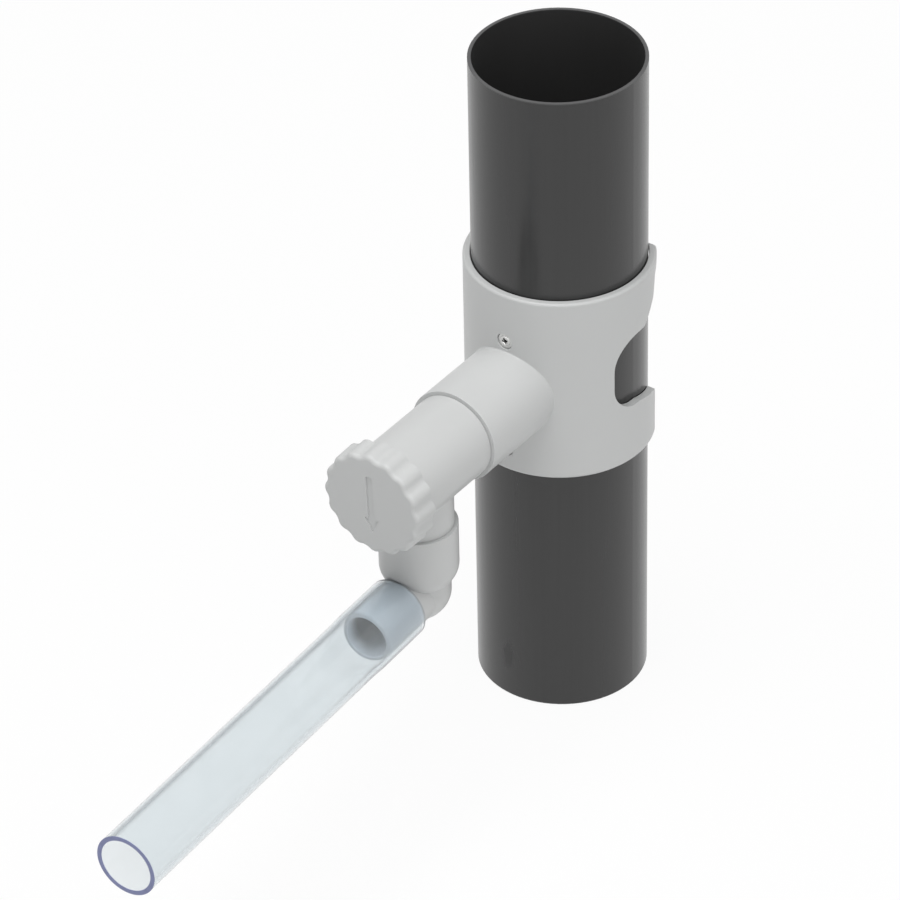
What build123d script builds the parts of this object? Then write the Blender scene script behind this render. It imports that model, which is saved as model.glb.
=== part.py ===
"""Rainwater diverter clipped on a length of round downpipe.

Lengths are in millimetres.  +Z is up along the downpipe, the origin is the centre of the
pipe's foot, and the branch with the control knob points along -Y.  Anything that turns
about the branch is drawn on the Z axis first, with Z counted outwards from the pipe's
axis, and then laid on the branch.
"""
from build123d import *
import math
import os

# Downpipe
pipe_diameter = 75.0
pipe_wall = 1.5
pipe_length = 312.0
branch_height = 165.7
pipe_hole_clearance = 1.98

# Saddle clip with its branch socket, moulded in one piece
saddle_gap = 0.3
saddle_wall = 3.2
saddle_above_branch = 49.7
saddle_below_branch = 40.0
saddle_rim_round = 1.2
saddle_edge_break = 0.3
upper_tongue_reach = 25.6
lower_tongue_reach = 17.5
branch_diameter = 42.3
branch_wall = 2.75
branch_length = 78.4
branch_root_fillet = 0.6
branch_mouth_round = 0.25
notch_front = 14.9
notch_above_branch = 23.9
notch_below_branch = 11.9
notch_upper_round = 14.5
notch_lower_round = 12.4
notch_fall = 5.0
notch_bends = ((4.0, 0.4), (13.5, 9.6), (16.3, 19.1))
notch_tip_rise = 23.4
notch_bend_round = 2.5

# Fixing screws, one above and one below the branch, sunk in round seats
screw_gap_above = 5.15
screw_gap_below = 7.65
screw_seat_diameter = 7.6
screw_seat_depth = 2.0
screw_head_diameter = 6.0
screw_head_height = 1.2
screw_head_round = 0.5
screw_shank_diameter = 3.5
screw_length = 11.0
screw_point_length = 2.5
screw_hole_clearance = 0.25
screw_thread_clearance = 0.03
screw_recess_diameter = 1.8
screw_recess_depth = 2.2
screw_slot_span = 2.9
screw_slot_width = 0.7
screw_slot_depth = 0.9

# Rubber ring between the saddle and the pipe, in a groove round the branch bore
gasket_bore_gap = 1.3
gasket_width = 2.4
gasket_depth_in_saddle = 1.1
gasket_clearance = 0.05

# Valve body: a barrel pushed into the branch, with the outlet stub underneath
seam_gap = 0.1
spigot_clearance = 0.1
spigot_depth = 31.0
barrel_step = 1.1
barrel_wall = 2.7
barrel_nose_length = 22.5
barrel_edge = 0.25
neck_wall = 1.8
neck_length = 6.5
bead_height = 0.6
bead_width = 1.4
stub_setback = 26.2
stub_diameter = 30.6
stub_wall = 3.1
stub_showing = 8.6
stub_root_fillet = 1.2

# Round section seals and their grooves
seal_section = 1.8
seal_groove_width = 2.2
seal_squeeze_gap = 0.04
branch_seal_inset = 16.4
outlet_seal_lift = 6.8
front_seal_offset = 17.6
rear_seal_offset = 18.7

# Diverter scoop: a journal in the barrel and a trough that reaches into the pipe
journal_clearance = 0.08
journal_wall = 2.6
journal_overhang = 1.6
scoop_wall = 1.8
scoop_tip_gap = 6.5
window_clearance = 0.2
bulkhead_offset = 13.9
bulkhead_thickness = 2.0
key_count = 4
key_width = 3.0
key_height = 1.2
key_clearance = 0.1

# Control knob
knob_overlap = 2.0
knob_inner_gap = 1.0
knob_face_thickness = 2.4
knob_rim_wall = 4.6
knob_scallop_depth = 1.2
knob_scallops = 16
knob_taper_angle = 1.6
knob_edge_round = 1.9
knob_shroud_depth = 2.5
knob_shroud_clearance = 0.4
knob_lip_width = 1.0
knob_lip_clearance = 0.25
knob_lip_play = 0.3
knob_plug_wall = 2.2
knob_plug_depth = 8.0
knob_plug_clearance = 0.1
knob_plug_end_play = 0.4
knob_lean_angle = 2.2

# Arrow sunk in the knob's face, from the centre of the face
arrow_depth = 0.6
arrow_tail_height = 13.9
arrow_tip_drop = 13.9
arrow_shaft_width = 3.2
arrow_head_width = 7.2
arrow_head_length = 6.9
arrow_corner_round = 0.35

# Outlet elbow: a socket on the stub, a bend and a plain spigot for the hose
elbow_swing_angle = 2.64
elbow_wall_step = 1.4
elbow_ball_shift = 1.0
elbow_rise_to_waist = 6.36
socket_wall = 1.63
socket_depth = 17.9
socket_taper_drop = 8.6
socket_shoulder_drop = 2.0
socket_belly = 0.66
socket_fit_clearance = 0.07
socket_floor_gap = 0.4
socket_edge_round = 0.4
spigot_diameter = 24.2
spigot_wall = 2.4
spigot_end_distance = 41.7
spigot_end_round = 1.3
spigot_bore_edge = 0.3

# Clear hose, stretched a little where it sits on the spigot
hose_diameter = 27.9
hose_wall = 2.1
hose_stretched_clearance = 0.05
hose_start_gap = 0.2
hose_stretched_end_gap = 2.5
hose_neck_length = 9.0
hose_end_distance = 212.5

# Radii that follow from the sizes above
pipe_radius = pipe_diameter / 2
saddle_inner_radius = pipe_radius + saddle_gap
saddle_outer_radius = saddle_inner_radius + saddle_wall
branch_radius = branch_diameter / 2
branch_bore_radius = branch_radius - branch_wall
gasket_inner_radius = branch_bore_radius + gasket_bore_gap
barrel_spigot_radius = branch_bore_radius - spigot_clearance
barrel_radius = barrel_spigot_radius + barrel_step
barrel_bore_radius = barrel_spigot_radius - barrel_wall
neck_radius = barrel_bore_radius + neck_wall
stub_radius = stub_diameter / 2
stub_bore_radius = stub_radius - stub_wall
journal_radius = barrel_bore_radius - journal_clearance
journal_bore_radius = journal_radius - journal_wall
pipe_hole_radius = journal_radius + pipe_hole_clearance
knob_shroud_radius = barrel_radius + knob_shroud_clearance
knob_crest_radius = knob_shroud_radius + knob_rim_wall
knob_valley_radius = knob_crest_radius - knob_scallop_depth
knob_cavity_radius = neck_radius + bead_height + knob_shroud_clearance
knob_plug_radius = journal_bore_radius - knob_plug_clearance
socket_bore_radius = stub_radius + socket_fit_clearance
socket_radius = socket_bore_radius + socket_wall
spigot_radius = spigot_diameter / 2
elbow_bore_radius = spigot_radius - spigot_wall
elbow_radius = spigot_radius + elbow_wall_step

# Distances from the pipe's axis along the branch
barrel_shoulder = branch_length + seam_gap
barrel_rear = branch_length - spigot_depth
stub_distance = barrel_shoulder + stub_setback
barrel_front = stub_distance + barrel_nose_length
neck_front = barrel_front + neck_length
branch_seal_distance = branch_length - branch_seal_inset
front_seal_distance = stub_distance + front_seal_offset
rear_seal_distance = stub_distance - rear_seal_offset
journal_rear = barrel_rear - journal_overhang
journal_front = neck_front
bulkhead_distance = stub_distance + bulkhead_offset
scoop_tip_reach = pipe_radius - pipe_wall - scoop_tip_gap
knob_back_distance = barrel_front - knob_overlap
knob_inner_face = neck_front + knob_inner_gap
knob_face_distance = knob_inner_face + knob_face_thickness
knob_depth = knob_face_distance - knob_back_distance
knob_lip_start = knob_back_distance + knob_shroud_depth
knob_lip_end = knob_lip_start + knob_lip_width
knob_plug_start = knob_inner_face - knob_plug_depth

# Heights above the pipe's foot, and distances from the stub's axis along the hose
socket_top_height = branch_height - barrel_radius - stub_showing
socket_floor_height = socket_top_height - socket_depth
stub_bottom_height = socket_floor_height + socket_floor_gap
outlet_seal_height = stub_bottom_height + outlet_seal_lift
socket_shoulder_height = socket_floor_height - socket_shoulder_drop
socket_waist_height = socket_shoulder_height - socket_taper_drop
elbow_height = socket_waist_height - elbow_rise_to_waist
screw_drops = (branch_radius + screw_gap_above, -branch_radius - screw_gap_below)
hose_start_distance = socket_radius + hose_start_gap
hose_stretched_end = spigot_end_distance + hose_stretched_end_gap

# Frames: the branch axis, and the elbow turned about the stub
branch_frame = Plane(origin=(0, 0, branch_height), x_dir=(1, 0, 0), z_dir=(0, -1, 0))
stub_axis = Location((0, -stub_distance, 0))
elbow_frame = stub_axis * Rotation(0, 0, elbow_swing_angle)
hose_frame = elbow_frame * Plane(origin=(0, 0, elbow_height), x_dir=(1, 0, 0), z_dir=(0, -1, 0)).location


def on_branch(shape, turn=0.0):
    """Lay a shape drawn on the Z axis along the branch, turned about it."""
    return branch_frame.location * Rotation(0, 0, turn) * shape


def rod(radius, start, end):
    """Solid cylinder on the Z axis between two heights."""
    return Pos(0, 0, start) * Cylinder(radius, end - start, align=(Align.CENTER, Align.CENTER, Align.MIN))


def tube(outer_radius, inner_radius, start, end):
    """Hollow cylinder on the Z axis between two heights."""
    return rod(outer_radius, start, end) - rod(inner_radius, start, end)


def turned(*corners):
    """Body of revolution on the Z axis through (radius, height) corners."""
    return revolve(Plane.XZ * make_face(Polyline(*corners, close=True)), Axis.Z)


def seal_groove(bore_radius, height):
    """Ring to be cut from a shaft for the round seal between it and its bore."""
    floor_radius = bore_radius - 2 * seal_squeeze_gap - seal_section
    return tube(bore_radius, floor_radius, height - seal_groove_width / 2, height + seal_groove_width / 2)


def seal_ring(bore_radius, height):
    """Round section ring that just reaches the bore round it."""
    section = seal_section / 2
    centre_radius = bore_radius - seal_squeeze_gap - section
    return Pos(0, 0, height) * Torus(centre_radius, section)


def make_downpipe():
    """Plain pipe with the sawn hole for the scoop and two screw holes."""
    pipe = tube(pipe_radius, pipe_radius - pipe_wall, 0, pipe_length)
    pipe -= on_branch(rod(pipe_hole_radius, 0, pipe_diameter))
    hole_radius = screw_shank_diameter / 2 + screw_thread_clearance
    for drop in screw_drops:
        pipe -= on_branch(Pos(0, drop, 0) * rod(hole_radius, 0, pipe_diameter))
    return pipe


def notch_outline():
    """Side view of what the clip's ends leave open: the notch and the space behind both tongues."""
    top = notch_above_branch
    bottom = -notch_below_branch
    far = 2 * saddle_outer_radius
    over = 2 * saddle_above_branch
    bends = [(y, top + rise) for y, rise in notch_bends]
    corners = [
        (-notch_front, top),
        (-notch_front, bottom),
        (0, bottom),
        (lower_tongue_reach, bottom - notch_fall),
        (lower_tongue_reach, -over),
        (far, -over),
        (far, over),
        (upper_tongue_reach, over),
        (upper_tongue_reach, top + notch_tip_rise),
        *reversed(bends),
    ]
    outline = Plane.YZ * make_face(Polyline(*corners, close=True))
    for corner, radius in ((corners[0], notch_upper_round), (corners[1], notch_lower_round),
                           (corners[3], notch_bend_round), (bends[1], notch_bend_round),
                           (bends[2], notch_bend_round)):
        outline = fillet(corner_points(outline, corner), radius)
    return outline


def corner_points(outline, corner):
    """The outline's corner at a place in the side view."""
    return [v for v in outline.vertices() if math.hypot(v.Y - corner[0], v.Z - corner[1]) < 0.01]


def make_saddle_clip():
    """C-shaped clip with open notches, and the branch socket grown out of it."""
    height = saddle_above_branch + saddle_below_branch
    middle = (saddle_above_branch - saddle_below_branch) / 2
    wall = Plane.XZ * Pos(saddle_inner_radius + saddle_wall / 2, middle) * Rectangle(saddle_wall, height)
    inner = [v for v in wall.vertices() if v.X < saddle_inner_radius + saddle_wall / 2]
    wall = chamfer(inner, saddle_edge_break)
    outer = [v for v in wall.vertices() if v.X > saddle_outer_radius - 0.01]
    wall = fillet(outer, saddle_rim_round)
    clip = revolve(wall, Axis.Z)
    clip -= extrude(notch_outline(), saddle_outer_radius * 1.5, both=True)
    clip = Pos(0, 0, branch_height) * clip
    branch = rod(branch_radius, 0, branch_length)
    mouth = branch.edges().sort_by(Axis.Z)[-1]
    branch = fillet(mouth, branch_mouth_round)
    clip += on_branch(branch) - Pos(0, 0, branch_height - height) * rod(saddle_inner_radius, 0, 2 * height)
    clip = fillet(branch_root_edges(clip), branch_root_fillet)
    clip -= on_branch(rod(branch_bore_radius, 0, branch_length))
    clip -= gasket_ring(gasket_clearance)
    for drop in screw_drops:
        seat = rod(screw_seat_diameter / 2, saddle_outer_radius - screw_seat_depth, pipe_diameter)
        seat += rod(screw_shank_diameter / 2 + screw_hole_clearance, 0, pipe_diameter)
        clip -= on_branch(Pos(0, drop, 0) * seat)
    return clip


def branch_root_edges(clip):
    """Edges where the branch grows out of the clip's outer face."""
    found = []
    for edge in clip.edges():
        points = [edge.position_at(t) for t in (0.1, 0.37, 0.5, 0.83)]
        from_branch = [math.hypot(p.X, p.Z - branch_height) - branch_radius for p in points]
        from_pipe = [math.hypot(p.X, p.Y) - saddle_outer_radius for p in points]
        if max(abs(d) for d in from_branch + from_pipe) < 0.01:
            found.append(edge)
    return found


def gasket_ring(clearance=0.0):
    """Curved ring in the clip round the branch bore, or its groove with a clearance."""
    inner = gasket_inner_radius - clearance
    outer = gasket_inner_radius + gasket_width + clearance
    around_branch = on_branch(tube(outer, inner, 0, pipe_diameter))
    height = 2 * saddle_above_branch
    foot = branch_height - saddle_above_branch
    bottom = saddle_inner_radius + gasket_depth_in_saddle + clearance
    top = pipe_radius + gasket_clearance - 2 * clearance
    return around_branch & (Pos(0, 0, foot) * tube(bottom, top, 0, height))


def make_screw():
    """Self-tapping screw on the Z axis, with its point at the lower end."""
    head_top = screw_head_height
    head = rod(screw_head_diameter / 2, 0, head_top)
    head = fillet(head.edges().sort_by(Axis.Z)[-1], screw_head_round)
    shank = screw_shank_diameter / 2
    shaft = turned((0, 0), (shank, 0), (shank, screw_point_length - screw_length), (0, -screw_length))
    screw = head + shaft
    recess = rod(screw_recess_diameter / 2, head_top - screw_recess_depth, head_top)
    for turn in (0, 90):
        slot = Box(screw_slot_span, screw_slot_width, screw_slot_depth,
                   align=(Align.CENTER, Align.CENTER, Align.MAX))
        recess += Pos(0, 0, head_top) * Rotation(0, 0, turn + 20) * slot
    return screw - recess


def make_fixing_screws():
    """Both screws, seated in the clip."""
    seat = saddle_outer_radius - screw_seat_depth
    screws = []
    for drop in screw_drops:
        screws += on_branch(Pos(0, drop, seat) * make_screw()).solids()
    return Compound(children=screws)


def make_valve_body():
    """Barrel with the plug-in end, the knob's neck and the outlet stub."""
    bead_start = knob_lip_end + knob_lip_play
    bead_end = bead_start + bead_width
    bead_radius = neck_radius + bead_height
    body = on_branch(turned(
        (0, barrel_rear), (barrel_spigot_radius - 0.6, barrel_rear),
        (barrel_spigot_radius, barrel_rear + 1.5), (barrel_spigot_radius, barrel_shoulder),
        (barrel_radius - barrel_edge, barrel_shoulder),
        (barrel_radius, barrel_shoulder + barrel_edge), (barrel_radius, barrel_front - barrel_edge),
        (barrel_radius - barrel_edge, barrel_front), (neck_radius, barrel_front),
        (neck_radius, bead_start), (bead_radius, bead_start), (bead_radius, bead_end - bead_height),
        (neck_radius, bead_end),
        (neck_radius, neck_front), (0, neck_front)))
    stub = rod(stub_radius, stub_bottom_height, branch_height)
    stub = chamfer(stub.edges().sort_by(Axis.Z)[0], 0.6)
    body += stub_axis * stub
    body = fillet(stub_root_edges(body), stub_root_fillet)
    body -= on_branch(rod(barrel_bore_radius, barrel_rear, neck_front))
    body -= stub_axis * rod(stub_bore_radius, stub_bottom_height, branch_height)
    body -= on_branch(seal_groove(branch_bore_radius, branch_seal_distance))
    body -= stub_axis * seal_groove(socket_bore_radius, outlet_seal_height)
    return body


def stub_root_edges(body):
    """Edges where the outlet stub leaves the barrel."""
    found = []
    for edge in body.edges():
        points = [edge.position_at(t) for t in (0.1, 0.37, 0.5, 0.83)]
        from_barrel = [math.hypot(p.X, p.Z - branch_height) - barrel_radius for p in points]
        from_stub = [math.hypot(p.X, p.Y + stub_distance) - stub_radius for p in points]
        if max(abs(d) for d in from_barrel + from_stub) < 0.01:
            found.append(edge)
    return found


def make_branch_seal():
    """Seal between the barrel's plug-in end and the branch."""
    return on_branch(seal_ring(branch_bore_radius, branch_seal_distance))


def make_outlet_seal():
    """Seal between the stub and the elbow's socket."""
    return stub_axis * seal_ring(socket_bore_radius, outlet_seal_height)


def make_diverter_scoop():
    """Tube journal with an outlet window, and the half-round trough with a spoon end."""
    journal = tube(journal_radius, journal_bore_radius, journal_rear, journal_front)
    bulkhead_front = bulkhead_distance + bulkhead_thickness
    journal += rod(journal_bore_radius + journal_wall / 2, bulkhead_distance, bulkhead_front)
    window = rod(stub_bore_radius - window_clearance, 0, 2 * barrel_radius)
    journal -= Pos(0, 0, stub_distance) * Rotation(90, 0, 0) * window
    for distance in (front_seal_distance, rear_seal_distance):
        journal -= seal_groove(barrel_bore_radius, distance)
    for turn in range(key_count):
        keyway = Box(key_width, key_height * 2, journal_front - knob_plug_start + knob_plug_end_play,
                     align=(Align.CENTER, Align.CENTER, Align.MAX))
        at_wall = Pos(0, journal_bore_radius, journal_front)
        journal -= Rotation(0, 0, turn * 360 / key_count) * at_wall * keyway
    tip = -scoop_tip_reach
    nose = journal_radius + tip
    shell = rod(journal_radius, nose, journal_rear) + Pos(0, 0, nose) * Sphere(journal_radius)
    inner = journal_radius - scoop_wall
    shell -= rod(inner, nose, journal_rear) + Pos(0, 0, nose) * Sphere(inner)
    upper_half = Box(journal_radius * 3, journal_radius * 2, pipe_length,
                     align=(Align.CENTER, Align.MIN, Align.CENTER))
    trough = shell - upper_half
    return on_branch(journal + trough, knob_lean_angle)


def make_scoop_seal(distance):
    """Seal on the journal, against the barrel's bore."""
    return on_branch(seal_ring(barrel_bore_radius, distance))


def scallop_outline():
    """Knob outline with equal convex and concave arcs that run into each other."""
    crest = knob_crest_radius
    valley = knob_valley_radius
    half_pitch = math.pi / knob_scallops
    cosine = math.cos(half_pitch)
    a = 2 * cosine - 2
    b = -2 * (1 + cosine) * (crest - valley)
    c = crest**2 + valley**2 - 2 * cosine * crest * valley
    arc_radius = (-b - math.sqrt(b**2 - 4 * a * c)) / (2 * a)
    edges = []
    for step in range(2 * knob_scallops):
        angle = step * half_pitch
        is_crest = step % 2 == 0
        top = (crest if is_crest else valley)
        centre = (crest - arc_radius, valley + arc_radius)
        own, other = centre if is_crest else centre[::-1]
        points = []
        for side in (-1, 1):
            x = (own * math.cos(angle) + other * math.cos(angle + side * half_pitch)) / 2
            y = (own * math.sin(angle) + other * math.sin(angle + side * half_pitch)) / 2
            points.append((x, y))
        middle = (top * math.cos(angle), top * math.sin(angle))
        edges.append(ThreePointArc(points[0], middle, points[1]))
    return make_face(edges)


def arrow_outline():
    """Arrow pointing down the knob's face."""
    shaft = arrow_shaft_width / 2
    barb = arrow_head_width / 2
    head = arrow_head_length - arrow_tip_drop
    corners = [
        (-shaft, arrow_tail_height), (-shaft, head), (-barb, head), (0, -arrow_tip_drop),
        (barb, head), (shaft, head), (shaft, arrow_tail_height),
    ]
    face = make_face(Polyline(*corners, close=True))
    return fillet(face.vertices(), arrow_corner_round)


def make_control_knob():
    """Scalloped cap with a sunk arrow, a snap lip and a keyed plug."""
    knob = Pos(0, 0, knob_back_distance) * extrude(scallop_outline(), knob_depth, taper=knob_taper_angle)
    rim = knob.faces().sort_by(Axis.Z)[-1].edges()
    knob = fillet(rim, knob_edge_round)
    knob -= rod(knob_shroud_radius, knob_back_distance, knob_lip_start)
    knob -= rod(neck_radius + knob_lip_clearance, knob_lip_start, knob_lip_end)
    knob -= rod(knob_cavity_radius, knob_lip_end, knob_inner_face)
    knob += tube(knob_plug_radius, knob_plug_radius - knob_plug_wall, knob_plug_start, knob_inner_face)
    key_tip = journal_bore_radius + key_height - key_clearance
    key_root = knob_plug_radius - knob_plug_wall / 2
    for turn in range(key_count):
        key = Box(key_width - 2 * key_clearance, key_tip - key_root, knob_plug_depth,
                  align=(Align.CENTER, Align.MAX, Align.MIN))
        knob += Rotation(0, 0, turn * 360 / key_count) * Pos(0, key_tip, knob_plug_start) * key
    knob -= Pos(0, 0, knob_face_distance - arrow_depth) * extrude(arrow_outline(), 2 * arrow_depth)
    return on_branch(knob, knob_lean_angle)


def rounded_bend(radius, rise, reach):
    """Round bar from its bend up the Z axis and out along -Y, with a ball corner between."""
    half_disc = make_face([CenterArc((0, 0, 0), radius, 0, 180), Line((-radius, 0), (radius, 0))])
    corner = revolve(half_disc, Axis((0, 0, 0), (-1, 0, 0)), 90)
    return rod(radius, 0, rise) + Rotation(90, 0, 0) * rod(radius, 0, reach) + corner


def elbow_arm():
    """Arm on the Z axis: a short round nose that narrows to the plain spigot."""
    shift = elbow_ball_shift
    nose_end = shift + math.sqrt(elbow_radius**2 - spigot_radius**2)
    turn = math.atan2(nose_end - shift, spigot_radius) / 2
    nose_middle = (elbow_radius * math.cos(turn), shift + elbow_radius * math.sin(turn))
    end = spigot_end_distance
    profile = [
        Line((0, 0), (elbow_radius, 0)),
        Line((elbow_radius, 0), (elbow_radius, shift)),
        ThreePointArc((elbow_radius, shift), nose_middle, (spigot_radius, nose_end)),
        Line((spigot_radius, nose_end), (spigot_radius, end)),
        Line((spigot_radius, end), (0, end)),
        Line((0, end), (0, 0)),
    ]
    arm = revolve(Plane.XZ * make_face(profile), Axis.Z)
    return fillet(arm.edges().sort_by(Axis.Z)[-1], spigot_end_round)


def make_outlet_elbow():
    """Moulded elbow: push-on socket, round bend and plain spigot."""
    waist = (elbow_radius, socket_waist_height)
    shoulder = (socket_radius, socket_shoulder_height)
    belly_radius = elbow_radius + (socket_radius - elbow_radius) * socket_belly
    belly = (belly_radius, (socket_waist_height + socket_shoulder_height) / 2 - 1.3)
    profile = [
        Line((0, socket_waist_height), waist),
        ThreePointArc(waist, belly, shoulder),
        Line(shoulder, (socket_radius, socket_top_height)),
        Line((socket_radius, socket_top_height), (0, socket_top_height)),
        Line((0, socket_top_height), (0, socket_waist_height)),
    ]
    socket = revolve(Plane.XZ * make_face(profile), Axis.Z)
    socket = fillet(socket.edges().sort_by(Axis.Z)[-1], socket_edge_round)
    rise = socket_floor_height - elbow_height
    bend = Pos(0, 0, elbow_height) * rounded_bend(elbow_radius, rise, 0.5 * elbow_ball_shift)
    elbow = elbow_frame * (socket + bend) + hose_frame * elbow_arm()
    bore = rounded_bend(elbow_bore_radius, rise, spigot_end_distance)
    edge = spigot_end_distance - spigot_bore_edge
    mouth = turned((0, edge), (elbow_bore_radius, edge),
                   (elbow_bore_radius + spigot_bore_edge, spigot_end_distance), (0, spigot_end_distance))
    elbow -= elbow_frame * (Pos(0, 0, elbow_height) * bore)
    elbow -= hose_frame * mouth
    return elbow - elbow_frame * rod(socket_bore_radius, socket_floor_height, socket_top_height)


def make_clear_hose():
    """Straight cut of hose, a little wider where the spigot stretches it."""
    free_outer = hose_diameter / 2
    free_inner = free_outer - hose_wall
    tight_inner = spigot_radius + hose_stretched_clearance
    tight_outer = tight_inner + hose_wall
    start = hose_start_distance
    tight_end = hose_stretched_end
    free_start = tight_end + hose_neck_length
    end = hose_end_distance
    return hose_frame * turned(
        (tight_inner, start), (tight_outer, start), (tight_outer, tight_end), (free_outer, free_start),
        (free_outer, end), (free_inner, end), (free_inner, free_start), (tight_inner, tight_end))


pieces = {
    "downpipe": make_downpipe(),
    "saddle_clip": make_saddle_clip(),
    "saddle_gasket": gasket_ring(),
    "fixing_screws": make_fixing_screws(),
    "valve_body": make_valve_body(),
    "branch_seal": make_branch_seal(),
    "outlet_seal": make_outlet_seal(),
    "diverter_scoop": make_diverter_scoop(),
    "front_scoop_seal": make_scoop_seal(front_seal_distance),
    "rear_scoop_seal": make_scoop_seal(rear_seal_distance),
    "control_knob": make_control_knob(),
    "outlet_elbow": make_outlet_elbow(),
    "clear_hose": make_clear_hose(),
}

os.makedirs("parts", exist_ok=True)
for node, shape in pieces.items():
    export_step(shape, f"parts/{node}.step")
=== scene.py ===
"""Rainwater diverter on a downpipe: finishes, small parts, light and camera."""
import logging
import math
from dataclasses import dataclass
from enum import Enum, IntEnum
from typing import Any, Callable, Protocol, Sequence

import bmesh
import bpy
from mathutils import Matrix, Vector


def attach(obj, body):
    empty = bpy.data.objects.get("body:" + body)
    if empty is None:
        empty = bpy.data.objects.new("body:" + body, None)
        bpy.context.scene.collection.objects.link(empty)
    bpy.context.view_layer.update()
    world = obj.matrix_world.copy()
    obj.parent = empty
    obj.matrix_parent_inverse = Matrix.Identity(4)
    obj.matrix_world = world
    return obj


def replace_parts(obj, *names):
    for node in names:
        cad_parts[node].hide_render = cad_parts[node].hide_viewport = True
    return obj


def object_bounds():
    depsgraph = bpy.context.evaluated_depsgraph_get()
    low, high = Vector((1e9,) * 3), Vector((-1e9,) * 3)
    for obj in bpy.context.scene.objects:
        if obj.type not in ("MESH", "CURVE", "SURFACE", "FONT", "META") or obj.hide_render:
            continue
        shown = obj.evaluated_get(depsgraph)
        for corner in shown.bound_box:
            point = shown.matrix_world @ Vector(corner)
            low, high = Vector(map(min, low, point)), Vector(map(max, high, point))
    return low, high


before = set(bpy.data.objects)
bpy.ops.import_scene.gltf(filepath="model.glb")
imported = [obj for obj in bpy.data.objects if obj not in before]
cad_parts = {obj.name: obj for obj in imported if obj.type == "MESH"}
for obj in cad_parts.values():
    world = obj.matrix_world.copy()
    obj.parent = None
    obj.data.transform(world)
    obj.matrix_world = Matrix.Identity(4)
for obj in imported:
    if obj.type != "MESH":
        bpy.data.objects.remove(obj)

Band = tuple[float, float]
Triple = tuple[float, float, float]
Colour = tuple[float, float, float, float]
Ring = list[bmesh.types.BMVert]
CAD_BOX = [list(corner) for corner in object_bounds()]
MILLIMETRE = 0.001
WHITE = (1.0, 1.0, 1.0)
CLEAREST = (0.97, 0.98, 0.985)
LIGHT_GREY = (0.57, 0.578, 0.575)
MIDDLE_GREY = (0.47, 0.475, 0.48)
DARK_GREY = (0.021, 0.021, 0.021)
SCREW_SEAT = 39.0
SCREW_HEIGHTS = (192.0, 136.9)
log = logging.getLogger("diverter")
logging.basicConfig(level=logging.INFO, format="%(name)s: %(message)s")


class Axis(Enum):
    """Parts of a place, by the sockets that give them."""

    X = "X"
    Y = "Y"
    Z = "Z"


class HoseFace(IntEnum):
    """Faces of the hose, in the order of its material slots."""

    OUTSIDE = 0
    BORE = 1
    FREE_CUT = 2
    ELBOW_CUT = 3


@dataclass(frozen=True)
class Noise:
    """A cloudy pattern: clouds in a metre, number of finer layers and their strength."""

    scale: float
    detail: float
    roughness: float


@dataclass(frozen=True)
class OutletLine:
    """Axis that the elbow's spigot and the hose share, in millimetres."""

    from_pipe_axis: float = 104.7
    height: float = 102.84
    swing: float = math.radians(2.64)
    hose_start: float = 17.2

    @property
    def origin(self) -> Triple:
        """Point under the outlet stub at which the axis starts."""
        return (0.0, -self.from_pipe_axis, self.height)

    @property
    def along(self) -> Triple:
        """Direction from the stub to the hose's free end."""
        return (math.sin(self.swing), -math.cos(self.swing), 0.0)

    @property
    def beside(self) -> Triple:
        """Level direction square to the axis."""
        return (math.cos(self.swing), math.sin(self.swing), 0.0)


OUTLET = OutletLine()


def share(value: float) -> float:
    """Value kept between 0 and 1."""
    return min(1.0, max(0.0, value))


def spread(start: float, end: float, count: int) -> list[float]:
    """Evenly spaced values after a start, the last of them at an end."""
    return [start + (end - start) * n / count for n in range(1, count + 1)]


def rgba(colour: Sequence[float]) -> Colour:
    """Colour with full alpha."""
    return (*colour, 1.0)


def shade(colour: Triple, factor: float) -> Colour:
    """Colour made lighter or darker, with full alpha."""
    return rgba([min(1.0, part * factor) for part in colour])


class Socket:
    """An output socket of a shader, with arithmetic that adds Math nodes."""

    def __init__(self, shader: "Shader", output: bpy.types.NodeSocket | None) -> None:
        """Wrap one output of a shader's node."""
        self.shader = shader
        self.output = output

    def _maths(self, operation: str, *values: "Socket | float") -> "Socket":
        """Add a Math node for an operation on values."""
        return self.shader.node("ShaderNodeMath", {"operation": operation}, dict(enumerate(values)))

    def __add__(self, other: "Socket | float") -> "Socket":
        """Sum of two values."""
        return self._maths("ADD", self, other)

    def __radd__(self, other: float) -> "Socket":
        """Sum with a number on the left."""
        return self._maths("ADD", other, self)

    def __sub__(self, other: "Socket | float") -> "Socket":
        """Difference of two values."""
        return self._maths("SUBTRACT", self, other)

    def __rsub__(self, other: float) -> "Socket":
        """A number less this value."""
        return self._maths("SUBTRACT", other, self)

    def __mul__(self, other: "Socket | float") -> "Socket":
        """Product of two values."""
        return self._maths("MULTIPLY", self, other)

    def __rmul__(self, other: float) -> "Socket":
        """Product with a number on the left."""
        return self._maths("MULTIPLY", other, self)

    def __pow__(self, other: "Socket | float") -> "Socket":
        """This value raised to a power."""
        return self._maths("POWER", self, other)

    def __rpow__(self, other: float) -> "Socket":
        """A number raised to the power of this value."""
        return self._maths("POWER", other, self)

    def __abs__(self) -> "Socket":
        """Size of this value without its sign."""
        return self._maths("ABSOLUTE", self)

    def larger(self, other: "Socket | float") -> "Socket":
        """Larger of two values."""
        return self._maths("MAXIMUM", self, other)

    def ramp(self, low: float, high: float) -> "Socket":
        """Smooth step from 0 to 1 between two values.

        Args:
            low: Value at and below which the result is 0.
            high: Value at and above which the result is 1.

        Returns:
            The stepped value.
        """
        settings = {"interpolation_type": "SMOOTHSTEP"}
        inputs = {"Value": self, "From Min": low, "From Max": high}
        return self.shader.node("ShaderNodeMapRange", settings, inputs)


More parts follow.
